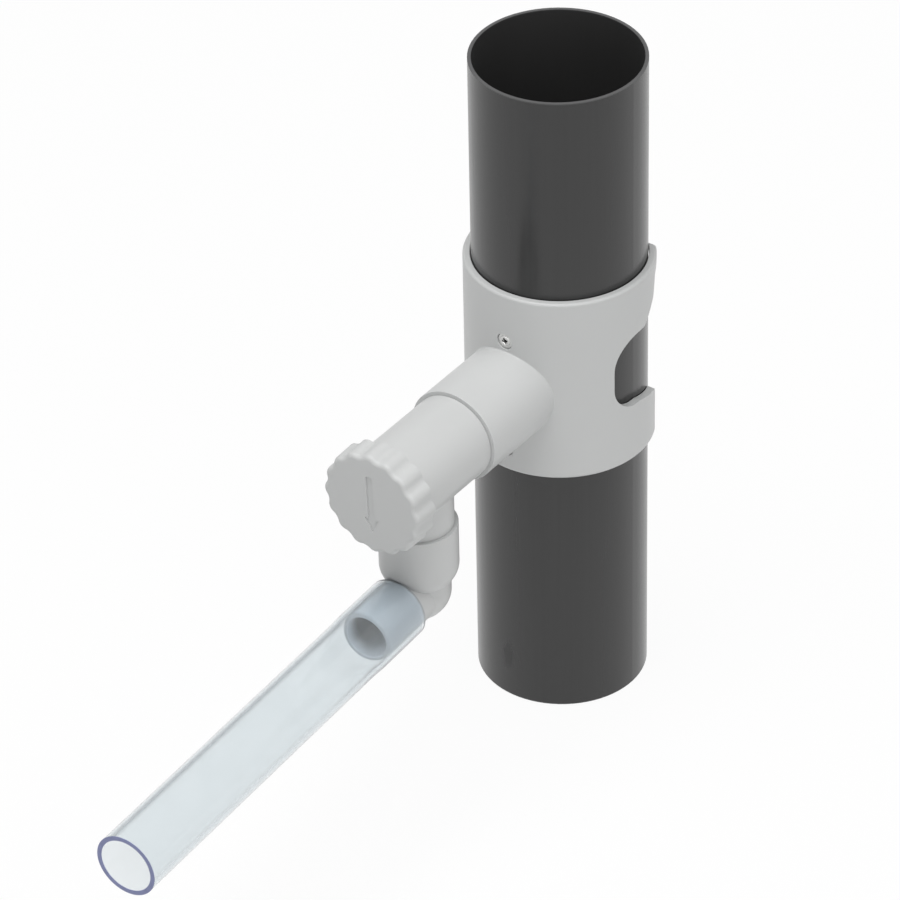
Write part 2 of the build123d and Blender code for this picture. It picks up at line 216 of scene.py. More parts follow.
class Shader:
    """Nodes of a material or of the world, with one method that adds any node."""

    def __init__(self, owner: bpy.types.Material | bpy.types.World) -> None:
        """Give an owner an empty node tree.

        Args:
            owner: The material or world.
        """
        owner.use_nodes = True
        self.owner = owner
        self.tree = owner.node_tree
        self.tree.nodes.clear()

    def node(self, kind: str, settings: dict[str, Any], inputs: dict[Any, Any],
             output: int | str = 0) -> Socket:
        """Add a node.

        Args:
            kind: The node's type.
            settings: Its properties, set first.
            inputs: Values, or sockets to link, by socket name or number.
            output: Name or number of the output that is returned.

        Returns:
            The chosen output.
        """
        made = self.tree.nodes.new(kind)
        for key, value in settings.items():
            setattr(made, key, value)
        for key, value in inputs.items():
            if isinstance(value, Socket):
                self.tree.links.new(value.output, made.inputs[key])
            else:
                made.inputs[key].default_value = value
        return Socket(self, made.outputs[output] if made.outputs else None)

    def place(self) -> Socket:
        """Position on the object, in metres."""
        return self.node("ShaderNodeTexCoord", {}, {}, "Object")

    def part(self, vector: Socket, axis: Axis) -> Socket:
        """One part of a vector."""
        return self.node("ShaderNodeSeparateXYZ", {}, {0: vector}, axis.value)

    def vector(self, operation: str, *values: "Socket | Triple", output: str = "Vector") -> Socket:
        """Result of an operation on vectors, of which "Value" is the output where it is a number."""
        settings = {"operation": operation}
        return self.node("ShaderNodeVectorMath", settings, dict(enumerate(values)), output)

    def noise(self, place: Socket, pattern: Noise) -> Socket:
        """Cloudy value from 0 to 1 about a half.

        Args:
            place: Where to read it.
            pattern: Its size and make-up.

        Returns:
            The value.
        """
        inputs = {"Vector": place, "Scale": pattern.scale, "Detail": pattern.detail,
                  "Roughness": pattern.roughness}
        return self.node("ShaderNodeTexNoise", {"noise_dimensions": "3D"}, inputs)

    def mix(self, factor: "Socket | float", first: "Socket | Colour", second: "Socket | Colour") -> Socket:
        """Colour between two colours.

        Args:
            factor: 0 for the first colour, 1 for the second.
            first: First colour.
            second: Second colour.

        Returns:
            The mixed colour.
        """
        # A Mix node also has sockets of these names for numbers and vectors, so these go by number.
        first_colour, second_colour, mixed_colour = 6, 7, 2
        inputs = {0: factor, first_colour: first, second_colour: second}
        return self.node("ShaderNodeMix", {"data_type": "RGBA"}, inputs, mixed_colour)

    def toned(self, factor: Socket, colour: Triple, tones: Band) -> Socket:
        """Colour between a darker and a lighter tone of one colour.

        Args:
            factor: 0 for the darker tone, 1 for the lighter.
            colour: The colour.
            tones: How light the two tones are, as factors of the colour.

        Returns:
            The mixed colour.
        """
        darker, lighter = (shade(colour, tone) for tone in tones)
        return self.mix(factor, darker, lighter)

    def bump(self, height: Socket, distance: float, strength: float) -> Socket:
        """Normal that leans with a height."""
        inputs = {"Strength": strength, "Distance": distance, "Height": height}
        return self.node("ShaderNodeBump", {}, inputs)

    def surface(self, inputs: dict[str, Any]) -> Socket:
        """Principled surface with some of its inputs set or linked."""
        return self.node("ShaderNodeBsdfPrincipled", {}, inputs)

    def finish(self, surface: Socket) -> bpy.types.Material:
        """Send a surface to the material's output and give the material back."""
        self.node("ShaderNodeOutputMaterial", {}, {"Surface": surface})
        return self.owner


class Finish(Protocol):
    """Anything that builds a material."""

    def material(self) -> bpy.types.Material:
        """Build the material."""


@dataclass(frozen=True)
class PlasticFinish:
    """Moulded plastic with cloudy tone, fine grain and a soft gloss."""

    name: str
    colour: Triple
    roughness: float
    clouds: Noise = Noise(45.0, 4.0, 0.55)
    fine: Noise = Noise(900.0, 2.0, 0.6)
    specks: Noise = Noise(2600.0, 1.0, 0.5)
    tones: Band = (0.97, 1.03)
    cloud_tone: float = 0.24
    fine_tone: float = 0.12
    cloud_dulling: float = 0.12
    fine_dulling: float = 0.08
    fine_relief: float = 0.6
    speck_relief: float = 0.4
    relief_height: float = 0.00002
    relief_strength: float = 1.0
    refraction: float = 1.5

    def marked(self, shader: Shader, place: Socket, colour: Socket) -> Socket:
        """Colour with the marks of one piece, of which a plain piece has none."""
        return colour

    def material(self) -> bpy.types.Material:
        """Build the plastic.

        Returns:
            The material.
        """
        shader = Shader(bpy.data.materials.new(self.name))
        place = shader.place()
        clouds = shader.noise(place, self.clouds)
        fine = shader.noise(place, self.fine)
        specks = shader.noise(place, self.specks)
        tone = (clouds - 0.5) * self.cloud_tone + (fine - 0.5) * self.fine_tone + 0.5
        dulling = (clouds - 0.5) * self.cloud_dulling + (fine - 0.5) * self.fine_dulling
        relief = fine * self.fine_relief + specks * self.speck_relief
        colour = shader.toned(tone, self.colour, self.tones)
        return shader.finish(shader.surface({
            "Base Color": self.marked(shader, place, colour), "Roughness": dulling + self.roughness,
            "Normal": shader.bump(relief, self.relief_height, self.relief_strength), "IOR": self.refraction}))


@dataclass(frozen=True)
class ElbowFinish(PlasticFinish):
    """Grey plastic of the elbow, with a painted cool glow of the milky hose where it covers the spigot, and
    painted light and painted shade in the spigot's bore.

    Its lengths are in metres.
    """

    spigot_end: float = 0.0417
    bore_radius: float = 0.0098
    spigot_edge: float = 0.0002
    bore_edge: float = 0.0004
    deep_run: Band = (0.001, 0.008)
    lit_side: Band = (-0.0075, 0.0040)
    # Painted glow of the milky hose on the covered spigot, painted light in the bore and painted shade deep
    # in it.
    spigot_glow_colour: Triple = (0.60, 0.655, 0.72)
    bore_light_colour: Triple = (0.74, 0.79, 0.86)
    bore_shade_colour: Triple = (0.015, 0.015, 0.025)

    def marked(self, shader: Shader, place: Socket, colour: Socket) -> Socket:
        """Colour with the painted glow where the hose covers the spigot, and painted light and painted shade
        in its bore.

        Args:
            shader: Shader to build in.
            place: Position on the elbow, in metres.
            colour: Colour of the plain moulding.

        Returns:
            The marked colour.
        """
        start = OUTLET.hose_start * MILLIMETRE
        origin = tuple(part * MILLIMETRE for part in OUTLET.origin)
        away = shader.vector("SUBTRACT", place, origin)
        out = shader.vector("DOT_PRODUCT", away, OUTLET.along, output="Value")
        side = shader.vector("DOT_PRODUCT", away, OUTLET.beside, output="Value")
        up = shader.part(away, Axis.Z)
        around = (side * side + up * up) ** 0.5
        covered = out.ramp(start - self.spigot_edge, start + self.spigot_edge)
        within = covered * (1.0 - around.ramp(self.bore_radius, self.bore_radius + self.bore_edge))
        # Painted shade deep in the bore and away from its lit side, over painted light nearer its mouth.
        deep = (self.spigot_end - out).ramp(*self.deep_run) * (1.0 - side.ramp(*self.lit_side))
        bore = shader.mix(deep, rgba(self.bore_light_colour), rgba(self.bore_shade_colour))
        # Painted cool glow where the hose covers the spigot.
        return shader.mix(within, shader.mix(covered, colour, rgba(self.spigot_glow_colour)), bore)


@dataclass(frozen=True)
class PipeFinish:
    """Dark extruded pipe with drawn streaks, a scuff near its foot, a dull bore and paler saw cuts.

    Its lengths and places are in metres.
    """

    name: str = "pipe_plastic"
    colour: Triple = DARK_GREY
    cut_colour: Triple = (0.065, 0.065, 0.066)
    roughness: float = 0.24
    drawn: Triple = (1.0, 1.0, 0.02)
    streaks: Noise = Noise(420.0, 3.0, 0.6)
    broad: Noise = Noise(60.0, 2.0, 0.5)
    clouds: Noise = Noise(25.0, 4.0, 0.6)
    specks: Noise = Noise(1800.0, 2.0, 0.5)
    ragged: Noise = Noise(300.0, 2.0, 0.5)
    tones: Band = (0.86, 1.16)
    streak_tone: float = 0.7
    broad_tone: float = 0.6
    cloud_tone: float = 0.5
    streak_dulling: float = 0.10
    cloud_dulling: float = 0.10
    scuff_dulling: float = 0.4
    cut_dulling: float = 0.3
    bore_dulling: float = 0.2
    streak_relief: float = 0.7
    speck_relief: float = 0.15
    relief_height: float = 0.00002
    relief_strength: float = 0.7
    refraction: float = 1.55
    foot: float = CAD_BOX[0][2]
    top: float = CAD_BOX[1][2]
    cut_edge: Band = (0.0006, 0.0002)
    bore_radius: float = 0.036
    bore_edge: Band = (0.0001, 0.0005)
    bore_tone: float = 1.7
    scuff: Triple = (-0.0030, -0.0374, 0.0212)
    scuff_size: Triple = (0.0040, 0.0060, 0.0105)
    scuff_edge: Band = (0.9, 1.3)
    scuff_ragged: float = 0.9
    scuff_strength: float = 0.5
    scuff_tone: float = 0.3

    def scuffed(self, shader: Shader, place: Socket) -> Socket:
        """How far the ragged scuff covers a place.

        Args:
            shader: Shader to build in.
            place: Position on the pipe, in metres.

        Returns:
            0 off the scuff, up to its strength in its middle.
        """
        away = shader.vector("SUBTRACT", place, self.scuff)
        scaled = shader.vector("MULTIPLY", away, tuple(1.0 / part for part in self.scuff_size))
        far = shader.vector("LENGTH", scaled, output="Value")
        ragged = shader.noise(place, self.ragged) * self.scuff_ragged
        return (1.0 - (far + ragged).ramp(*self.scuff_edge)) * self.scuff_strength

    def material(self) -> bpy.types.Material:
        """Build the pipe's plastic.

        Returns:
            The material.
        """
        shader = Shader(bpy.data.materials.new(self.name))
        place = shader.place()
        drawn = shader.vector("MULTIPLY", place, self.drawn)
        streaks = shader.noise(drawn, self.streaks)
        broad = shader.noise(drawn, self.broad)
        clouds = shader.noise(place, self.clouds)
        specks = shader.noise(place, self.specks)
        middle, half = (self.top + self.foot) / 2, (self.top - self.foot) / 2
        from_middle = abs(shader.part(place, Axis.Z) - middle)
        cut = from_middle.ramp(*(half - edge for edge in self.cut_edge))
        across = shader.vector("LENGTH", shader.vector("MULTIPLY", place, (1.0, 1.0, 0.0)), output="Value")
        within = 1.0 - across.ramp(*(self.bore_radius + edge for edge in self.bore_edge))
        scuffed = self.scuffed(shader, place)
        drift = (streaks - 0.5) * self.streak_tone + (broad - 0.5) * self.broad_tone
        tone = drift + (clouds - 0.5) * self.cloud_tone + 0.5
        plain = shader.toned(tone, self.colour, self.tones)
        marked = shader.mix(scuffed, plain, shade(self.colour, self.scuff_tone))
        lined = shader.mix(within, marked, shade(self.colour, self.bore_tone))
        dulling = (streaks - 0.5) * self.streak_dulling + (clouds - 0.5) * self.cloud_dulling
        duller = scuffed * self.scuff_dulling + cut * self.cut_dulling + within * self.bore_dulling
        relief = streaks * self.streak_relief + specks * self.speck_relief + cut * specks
        return shader.finish(shader.surface({
            "Base Color": shader.mix(cut, lined, rgba(self.cut_colour)),
            "Roughness": dulling + duller + self.roughness,
            "Normal": shader.bump(relief, self.relief_height, self.relief_strength), "IOR": self.refraction}))


@dataclass(frozen=True)
class ClearFinish:
    """Clear flexible plastic, a little milky, with a painted dark reflection line on its upper side where its
    bore turns out of sight, a painted pale sheen at its outline and a painted dark reflection along its lower
    edge near the elbow.

    Its lengths are in metres, and what rises or falls does so with how far the surface leans away.
    """

    name: str
    tint: Triple = (0.80, 0.862, 0.888)
    # Colours of the painted dark reflection line, the painted pale sheen and the painted dark reflection at
    # the lower edge.
    dark_reflection_tint: Triple = (0.42, 0.455, 0.48)
    sheen_tint: Triple = (0.93, 0.95, 0.96)
    lower_reflection_tint: Triple = (0.20, 0.207, 0.225)
    clearness: float = 0.86
    refraction: float = 1.5
    roughness: float = 0.05
    drawn: Triple = (1.0, 0.02, 1.0)
    lines: Noise = Noise(300.0, 2.0, 0.5)
    clouds: Noise = Noise(60.0, 3.0, 0.5)
    tones: Band = (0.97, 1.03)
    cloud_dulling: float = 0.03
    relief_height: float = 0.000004
    relief_strength: float = 0.2
    upper_side: Band = (-0.006, 0.013)
    line_rise: Band = (0.45, 0.57)
    line_fall: Band = (0.63, 0.76)
    rim_rise: Band = (0.66, 0.88)
    edge_rise: Band = (0.66, 0.80)
    edge_run: Band = (-0.190, -0.150)

    def material(self) -> bpy.types.Material:
        """Build the clear plastic.

        Returns:
            The material.
        """
        shader = Shader(bpy.data.materials.new(self.name))
        place = shader.place()
        lines = shader.noise(shader.vector("MULTIPLY", place, self.drawn), self.lines)
        clouds = shader.noise(place, self.clouds)
        aslant = shader.node("ShaderNodeLayerWeight", {}, {"Blend": 0.5}, "Facing")
        above_axis = shader.part(place, Axis.Z) - OUTLET.height * MILLIMETRE
        upper = above_axis.ramp(*self.upper_side)
        # Painted dark reflection: a band just inside the outline, on the upper side only.
        line = aslant.ramp(*self.line_rise) * (1.0 - aslant.ramp(*self.line_fall)) * upper
        near = shader.part(place, Axis.Y).ramp(*self.edge_run)
        # Painted dark reflection along the lower edge, near the elbow.
        edge = aslant.ramp(*self.edge_rise) * (1.0 - upper) * near
        plain = shader.toned(clouds, self.tint, self.tones)
        lined = shader.mix(line, plain, rgba(self.dark_reflection_tint))
        # Painted pale sheen at the outline.
        rimmed = shader.mix(aslant.ramp(*self.rim_rise), lined, rgba(self.sheen_tint))
        return shader.finish(shader.surface({
            "Base Color": shader.mix(edge, rimmed, rgba(self.lower_reflection_tint)),
            "Roughness": (clouds - 0.5) * self.cloud_dulling + self.roughness,
            "Normal": shader.bump(lines, self.relief_height, self.relief_strength),
            "IOR": self.refraction, "Transmission Weight": self.clearness}))


@dataclass(frozen=True)
class CutFinish:
    """Knife-cut face of the clear hose, which gathers the tint of its length and passes light from within."""

    name: str
    colour: Triple = (0.20, 0.222, 0.40)
    roughness: float = 0.25
    dulling: float = 0.2
    clouds: Noise = Noise(350.0, 3.0, 0.6)
    marks: Noise = Noise(900.0, 3.0, 0.6)
    stroke: Triple = (1.0, 1.0, 6.0)
    tones: Band = (0.8, 1.25)
    relief_height: float = 0.00003
    relief_strength: float = 0.5
    refraction: float = 1.5

    def material(self) -> bpy.types.Material:
        """Build the cut face.

        Returns:
            The material.
        """
        shader = Shader(bpy.data.materials.new(self.name))
        place = shader.place()
        clouds = shader.noise(place, self.clouds)
        marks = shader.noise(shader.vector("MULTIPLY", place, self.stroke), self.marks)
        face = shader.surface({
            "Base Color": shader.toned(clouds, self.colour, self.tones),
            "Roughness": marks * self.dulling + self.roughness,
            "Normal": shader.bump(marks, self.relief_height, self.relief_strength), "IOR": self.refraction})
        through = shader.node("ShaderNodeBsdfTransparent", {}, {})
        behind = shader.node("ShaderNodeNewGeometry", {}, {}, "Backfacing")
        return shader.finish(shader.node("ShaderNodeMixShader", {}, {0: behind, 1: face, 2: through}))


@dataclass(frozen=True)
class RubberFinish:
    """Black seal rubber, dull and slightly mottled."""

    name: str
    colour: Triple = (0.018, 0.018, 0.019)
    roughness: float = 0.6
    dulling: float = 0.2
    bloom: Noise = Noise(180.0, 4.0, 0.6)
    grain: Noise = Noise(3000.0, 2.0, 0.5)
    tones: Band = (0.8, 1.6)
    relief_height: float = 0.00003
    relief_strength: float = 0.8

    def material(self) -> bpy.types.Material:
        """Build the rubber.

        Returns:
            The material.
        """
        shader = Shader(bpy.data.materials.new(self.name))
        place = shader.place()
        bloom = shader.noise(place, self.bloom)
        grain = shader.noise(place, self.grain)
        return shader.finish(shader.surface({
            "Base Color": shader.toned(bloom, self.colour, self.tones),
            "Roughness": bloom * self.dulling + self.roughness,
            "Normal": shader.bump(grain, self.relief_height, self.relief_strength)}))


@dataclass(frozen=True)
class SteelFinish:
    """Plated steel with fine marks, and painted shade in the recesses of the screws, in metres."""

    name: str
    colour: Triple = (0.70, 0.70, 0.69)
    recess_shade: Triple = (0.03, 0.031, 0.03)
    roughness: float = 0.34
    stain_dulling: float = 0.2
    recess_dulling: float = 0.4
    marks: Noise = Noise(2400.0, 3.0, 0.6)
    stain: Noise = Noise(400.0, 3.0, 0.6)
    tones: Band = (0.9, 1.1)
    relief_height: float = 0.00002
    relief_strength: float = 0.6
    # Where the painted shade of the cross recesses lies.
    recess_width: Band = (0.0010, 0.0014)
    recess_depth: Band = (-0.0405, -0.0402)

    def material(self) -> bpy.types.Material:
        """Build the steel.

        Returns:
            The material.
        """
        shader = Shader(bpy.data.materials.new(self.name))
        place = shader.place()
        marks = shader.noise(place, self.marks)
        stain = shader.noise(place, self.stain)
        upper, lower = (height * MILLIMETRE for height in SCREW_HEIGHTS)
        from_middle = abs(shader.part(place, Axis.Z) - (upper + lower) / 2)
        above = abs(from_middle - (upper - lower) / 2)
        across = shader.part(place, Axis.X)
        from_axis = (across * across + above * above) ** 0.5
        # Painted shade: dark, dull and not metal inside the cross recesses of both screws.
        near = 1.0 - from_axis.ramp(*self.recess_width)
        sunk = near * shader.part(place, Axis.Y).ramp(*self.recess_depth)
        steel = shader.toned(stain, self.colour, self.tones)
        dulling = stain * self.stain_dulling + sunk * self.recess_dulling
        return shader.finish(shader.surface({
            "Base Color": shader.mix(sunk, steel, rgba(self.recess_shade)), "Metallic": 1.0 - sunk,
            "Roughness": dulling + self.roughness,
            "Normal": shader.bump(marks, self.relief_height, self.relief_strength)}))


def dress(finish: Finish, *nodes: str) -> list[str]:
    """Give nodes of the frame one finish in place of their plain one.

    Args:
        finish: The finish.
        nodes: Names of the nodes.

    Returns:
        The names.
    """
    material = finish.material()
    for node in nodes:
        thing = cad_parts[node]
        if not thing.material_slots:
            thing.data.materials.append(material)
        for slot in thing.material_slots:
            slot.material = material
    return list(nodes)


@dataclass
class View:
    """Camera at the photograph's angle, in millimetres and degrees."""

    azimuth: float = 36.33
    elevation: float = 36.14
    roll: float = -1.27
    distance: float = 2375.0
    across: float = -48.02
    height: float = 112.24
    lens: float = 219.5
    sensor: float = 36.0
    clip: Band = (50.0, 50000.0)

    def place(self) -> None:
        """Make the camera and use it for the render."""
        turn, rise, lean = (math.radians(v) for v in (self.azimuth, self.elevation, self.roll))
        back = Vector((math.sin(turn) * math.cos(rise), -math.cos(turn) * math.cos(rise), math.sin(rise)))
        level = Vector((math.cos(turn), math.sin(turn), 0.0))
        upright = back.cross(level)
        right = level * math.cos(lean) + upright * math.sin(lean)
        up = upright * math.cos(lean) - level * math.sin(lean)
        spot = level * self.across + Vector((0.0, 0.0, self.height)) + back * self.distance
        data = bpy.data.cameras.new("camera")
        data.lens = self.lens
        data.sensor_width = self.sensor
        data.clip_start, data.clip_end = (length * MILLIMETRE for length in self.clip)
        camera = bpy.data.objects.new("camera", data)
        turned = Matrix((right, up, back)).transposed().to_4x4()
        camera.matrix_world = Matrix.Translation(spot * MILLIMETRE) @ turned
        bpy.context.scene.collection.objects.link(camera)
        bpy.context.scene.camera = camera
        log.info("camera placed")


@dataclass
class Studio:
    """White floor, even sky and two soft square lamps, in metres and watts."""

    sky_strength: float = 0.40
    sky_colour: Triple = (0.8, 0.8, 0.8)
    key_spot: Triple = (0.0, -0.5, 2.7)
    key_power: float = 57.0
    fill_spot: Triple = (1.7, -0.8, 1.2)
    fill_power: float = 9.5
    lamp_size: float = 1.8
    aim: Triple = (0.0, -0.05, 0.15)
    floor_size: float = 8.0
    floor_drop: float = 0.0005
    floor_colour: Triple = (0.86, 0.86, 0.86)
    floor_glow: float = 0.93

    def lamp(self, name: str, spot: Triple, power: float) -> None:
        """Hang one soft square lamp that faces the part.

        Args:
            name: Name of the lamp.
            spot: Where it hangs.
            power: Its power.
        """
        data = bpy.data.lights.new(name, "AREA")
        data.energy = power
        data.size = self.lamp_size
        lamp = bpy.data.objects.new(name, data)
        lamp.location = spot
        lamp.rotation_euler = (Vector(self.aim) - Vector(spot)).to_track_quat("-Z", "Y").to_euler()
        bpy.context.scene.collection.objects.link(lamp)
        log.info("%s hung", name)

    @staticmethod
    def seen(shader: Shader) -> Socket:
        """Mask of the rays that look at the backdrop, straight, in gloss or through glass.

        Args:
            shader: Shader to build in.

        Returns:
            1 for such a ray, and 0 for one that carries light to the part.
        """
        rays = (f"Is {ray} Ray" for ray in ("Camera", "Glossy", "Transmission"))
        straight, gloss, glass = (shader.node("ShaderNodeLightPath", {}, {}, ray) for ray in rays)
        return straight.larger(gloss).larger(glass)

    def sky_light(self) -> None:
        """White backdrop for what looks at it, and an even dimmer light for the part."""
        world = bpy.data.worlds.new("studio")
        bpy.context.scene.world = world
        shader = Shader(world)
        strength = self.seen(shader) * (1.0 - self.sky_strength) + self.sky_strength
        light = {"Color": rgba(self.sky_colour), "Strength": strength}
        sky = shader.node("ShaderNodeBackground", {}, light)
        shader.node("ShaderNodeOutputWorld", {}, {"Surface": sky})

    def floor(self) -> None:
        """Lay a pale floor that shows white and keeps a faint shadow."""
        half = self.floor_size / 2
        corners = [(-half, -half, 0.0), (half, -half, 0.0), (half, half, 0.0), (-half, half, 0.0)]
        mesh = bpy.data.meshes.new("floor")
        mesh.from_pydata(corners, [], [(0, 1, 2, 3)])
        ground = bpy.data.objects.new("floor", mesh)
        ground.location = (0.0, 0.0, -self.floor_drop)
        bpy.context.scene.collection.objects.link(ground)
        shader = Shader(bpy.data.materials.new("floor"))
        matte = shader.node("ShaderNodeBsdfDiffuse", {}, {"Color": rgba(self.floor_colour)})
        glow = shader.node("ShaderNodeEmission", {}, {"Color": rgba(WHITE), "Strength": 1.0})
        mixed = {0: self.seen(shader) * self.floor_glow, 1: matte, 2: glow}
        mesh.materials.append(shader.finish(shader.node("ShaderNodeMixShader", {}, mixed)))

    def build(self) -> None:
        """Set up the light and the floor."""
        bpy.context.scene.view_settings.view_transform = "Standard"
        self.sky_light()
        self.floor()
        self.lamp("key_lamp", self.key_spot, self.key_power)
        self.lamp("fill_lamp", self.fill_spot, self.fill_power)


def laid(origin: Triple, along: Triple) -> Matrix:
    """Frame whose Z axis points along a direction.

    Args:
        origin: Its origin, in millimetres.
        along: Direction of its Z axis.

    Returns:
        Matrix from the frame, in millimetres, to the object, in metres.
    """
    turn = Vector(along).to_track_quat("Z", "Y").to_matrix().to_4x4()
    return Matrix.Scale(MILLIMETRE, 4) @ Matrix.Translation(origin) @ turn


class Skin:
    """A mesh that is built ring by ring round the Z axis of its own frame."""

    def __init__(self, name: str, place: Matrix, steps: int) -> None:
        """Start an empty mesh.

        Args:
            name: Name of the piece that it becomes.
            place: Its frame.
            steps: Number of points in each ring.
        """
        self.name = name
        self.place = place
        self.steps = steps
        self.mesh = bmesh.new()

    def ring(self, outline: Callable[[float], Band]) -> Ring:
        """Add a ring of points.

        Args:
            outline: Distance from the axis, and height, at an angle.

        Returns:
            The points in order.
        """
        points = []
        for step in range(self.steps):
            angle = math.tau * step / self.steps
            across, height = outline(angle)
            spot = Vector((across * math.cos(angle), across * math.sin(angle), height))
            points.append(self.mesh.verts.new(self.place @ spot))
        return points

    def bridge(self, first: Ring, second: Ring, slot: int = 0) -> None:
        """Join two rings with four-sided faces.

        Args:
            first: One ring.
            second: The next ring.
            slot: Material slot of the faces.
        """
        for step in range(self.steps):
            after = (step + 1) % self.steps
            face = self.mesh.faces.new((first[step], first[after], second[after], second[step]))
            face.material_index = slot
            face.smooth = True

    def cap(self, ring: Ring, height: float) -> None:
        """Close a ring with a fan about a point on the axis.

        Args:
            ring: The ring.
            height: Height of the point.
        """
        middle = self.mesh.verts.new(self.place @ Vector((0.0, 0.0, height)))
        for step in range(self.steps):
            face = self.mesh.faces.new((ring[step], ring[(step + 1) % self.steps], middle))
            face.smooth = True

    def lathe(self, profile: Sequence[tuple[float, float, int]]) -> None:
        """Turn a closed profile round the axis.

        Args:
            profile: Radius, height and material slot of the face that follows, point by point.
        """
        rings = [self.ring(lambda _, r=radius, h=height: (r, h)) for radius, height, _ in profile]
        for (_, _, slot), first, second in zip(profile, rings, rings[1:] + rings[:1]):
            self.bridge(first, second, slot)

    def piece(self, body: str, slot: str, *materials: bpy.types.Material) -> bpy.types.Object:
        """Finish the mesh as a piece of the part.

        Args:
            body: Body that it rides on.
            slot: Material slot of the record that it takes its finish from; not used.
            materials: Its materials in slot order.

        Returns:
            The piece.
        """
        bmesh.ops.recalc_face_normals(self.mesh, faces=self.mesh.faces)
        mesh = bpy.data.meshes.new(self.name)
        self.mesh.to_mesh(mesh)
        self.mesh.free()
        for material in materials:
            mesh.materials.append(material)
        piece = bpy.data.objects.new(self.name, mesh)
        bpy.context.scene.collection.objects.link(piece)
        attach(piece, body)
        return piece


@dataclass
class Downpipe:
    """Plain length of dark pipe."""

    finish: PipeFinish = PipeFinish()

    def build(self) -> list[str]:
        """Dress the pipe and name it."""
        return dress(self.finish, "downpipe")


@dataclass
class GreyMouldings:
    """Clip, valve body, knob and elbow in light grey, and the scoop inside them in a middle grey."""

    clip_and_body: PlasticFinish = PlasticFinish("grey_moulding", LIGHT_GREY, 0.40)
    knob: PlasticFinish = PlasticFinish("knob_moulding", LIGHT_GREY, 0.54)
    elbow: PlasticFinish = ElbowFinish("elbow_moulding", LIGHT_GREY, 0.40)
    scoop: PlasticFinish = PlasticFinish("inner_moulding", MIDDLE_GREY, 0.45)

    def build(self) -> list[str]:
        """Dress the mouldings.

        Returns:
            Their names.
        """
        names = dress(self.clip_and_body, "saddle_clip", "valve_body")
        names += dress(self.knob, "control_knob")
        names += dress(self.elbow, "outlet_elbow")
        names += dress(self.scoop, "diverter_scoop")
        return names


@dataclass
class Seals:
    """The five black rubber rings."""

    finish: RubberFinish = RubberFinish("seal_rubber")
    on_pipe_and_body: tuple[str, ...] = ("saddle_gasket", "branch_seal", "outlet_seal")
    on_scoop: tuple[str, ...] = ("front_scoop_seal", "rear_scoop_seal")

    def build(self) -> list[str]:
        """Dress the seals and name them."""
        return dress(self.finish, *self.on_pipe_and_body, *self.on_scoop)


